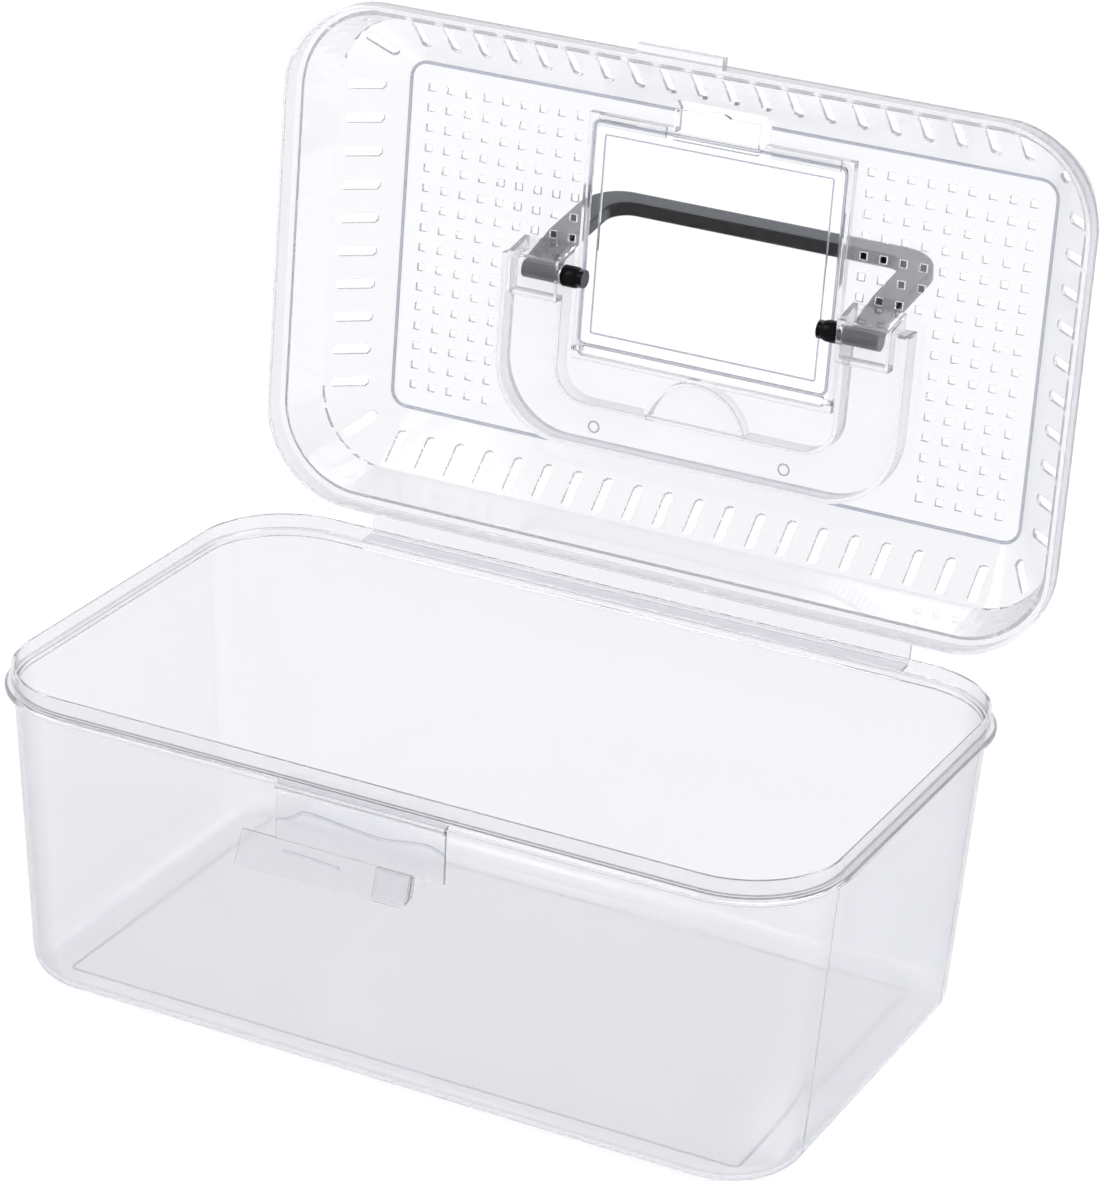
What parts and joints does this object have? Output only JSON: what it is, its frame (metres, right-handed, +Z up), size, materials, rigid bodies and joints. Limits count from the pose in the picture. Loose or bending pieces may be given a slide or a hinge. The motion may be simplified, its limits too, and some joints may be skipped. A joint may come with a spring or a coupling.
{
  "type": "pet keeper",
  "caption": "Clear plastic carrier for small pets and insects: deep tub, hinged vented lid with a feeding hatch, folding carry handle and a front clasp.",
  "frame": {"origin": "middle of the tub's underside, on the surface it stands on", "axes": "+Z up, +X along the tub, the clasp side faces -Y"},
  "size_m": [0.3004, 0.2941, 0.2986],
  "materials": {
    "clear_plastic": "clear moulded polypropylene, glossy",
    "smoke_plastic": "smoky moulded plastic, glossy"
  },
  "bodies": {
    "tub": {"tub": "clear_plastic", "lid_hinge_web": "clear_plastic", "clasp_hinge_web": "clear_plastic"},
    "lid": {"lid_rim": "clear_plastic", "front_shoulder": "clear_plastic", "back_shoulder": "clear_plastic", "right_shoulder": "clear_plastic", "left_shoulder": "clear_plastic", "right_vent_panel": "clear_plastic", "left_vent_panel": "clear_plastic", "middle_panel": "clear_plastic"},
    "hatch": {"hatch": "clear_plastic"},
    "handle": {"handle": "smoke_plastic"},
    "clasp": {"clasp": "clear_plastic"}
  },
  "joints": [
    {"name": "lid_fold", "type": "hinge", "parent": "tub", "child": "lid", "pos_m": [0, 0.0977, 0.10635], "axis": [1, 0, 0], "range_deg": [0, 93.95]},
    {"name": "hatch_hinge", "type": "hinge", "parent": "lid", "child": "hatch", "pos_m": [0, 0.14409, 0.17351], "axis": [-1, 0, 0], "range_deg": [0, 38]},
    {"name": "handle_swing", "type": "hinge", "parent": "lid", "child": "handle", "pos_m": [0, 0.14027, 0.20104], "axis": [-1, 0, 0], "range_deg": [0, 102.6]},
    {"name": "clasp_fold", "type": "hinge", "parent": "tub", "child": "clasp", "pos_m": [0, -0.0944, 0.1048], "axis": [-1, 0, 0], "range_deg": [0, 180]}
  ]
}
